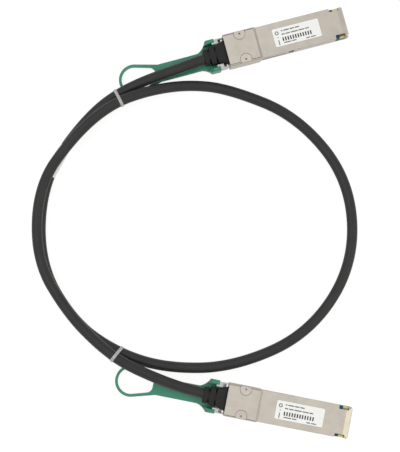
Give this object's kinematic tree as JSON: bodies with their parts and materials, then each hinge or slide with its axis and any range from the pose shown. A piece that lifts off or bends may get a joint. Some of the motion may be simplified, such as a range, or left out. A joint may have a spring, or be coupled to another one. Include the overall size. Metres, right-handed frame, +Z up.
{
  "type": "direct attach copper cable",
  "caption": "Copper network cable coiled once and tied, with a metal-shelled pluggable module and a green pull tab at each end.",
  "frame": {"origin": "on the table, below the centre of the box round the two plugs with their pull tabs", "axes": "+Z up from the table; +Y from the lower plug to the upper one; +X towards the mating ends"},
  "size_m": [0.1898, 0.2526, 0.0157],
  "materials": {
    "nickel_plate": "satin nickel plate on a zinc die casting",
    "rivet_metal": "satin nickel plate",
    "spring_steel": "stamped stainless sheet and wire",
    "ferrule_metal": "plated crimp sleeve",
    "gold_pads": "gold plate on copper",
    "pair_foil": "foil shield round each wire pair",
    "green_plastic": "moulded satin plastic",
    "black_boot": "moulded soft plastic",
    "black_jacket": "extruded satin jacket",
    "blue_board": "blue solder mask on glass laminate",
    "chip_body": "moulded package",
    "potting": "hot-melt over the solder joints",
    "tie_nylon": "translucent strap",
    "label_film": "white printed film",
    "sleeve_film": "white wrap-round film"
  },
  "bodies": {
    "cable_assembly": {"bottom_shell_a": "nickel_plate", "top_cover_a": "nickel_plate", "cover_rivets_a": "rivet_metal", "paddle_card_a": "blue_board", "contact_pads_a": "gold_pads", "memory_chip_a": "chip_body", "wire_pairs_a": "pair_foil", "wire_potting_a": "potting", "crimp_ferrule_a": "ferrule_metal", "strain_relief_a": "black_boot", "return_spring_left_a": "spring_steel", "return_spring_right_a": "spring_steel", "plug_label_a": "label_film", "bottom_shell_b": "nickel_plate", "top_cover_b": "nickel_plate", "cover_rivets_b": "rivet_metal", "paddle_card_b": "blue_board", "contact_pads_b": "gold_pads", "memory_chip_b": "chip_body", "wire_pairs_b": "pair_foil", "wire_potting_b": "potting", "crimp_ferrule_b": "ferrule_metal", "strain_relief_b": "black_boot", "return_spring_left_b": "spring_steel", "return_spring_right_b": "spring_steel", "plug_label_b": "label_film", "cable": "black_jacket", "tie_top": "tie_nylon", "tie_bottom": "tie_nylon", "cable_label": "sleeve_film"},
    "release_a": {"latch_slider_a": "spring_steel", "pull_tab_a": "green_plastic"},
    "release_b": {"latch_slider_b": "spring_steel", "pull_tab_b": "green_plastic"}
  },
  "joints": [
    {"name": "release_pull_a", "type": "slide", "parent": "cable_assembly", "child": "release_a", "axis": [-0.9651, -0.2586, 0.0404], "range_m": [0, 0.0025], "stiffness_N_per_m": 5400, "springref_m": -0.001, "deforming": ["return_spring_left_a", "return_spring_right_a"]},
    {"name": "release_pull_b", "type": "slide", "parent": "cable_assembly", "child": "release_b", "axis": [-0.9805, 0.1924, 0.0404], "range_m": [0, 0.0025], "stiffness_N_per_m": 5400, "springref_m": -0.001, "deforming": ["return_spring_left_b", "return_spring_right_b"]}
  ]
}
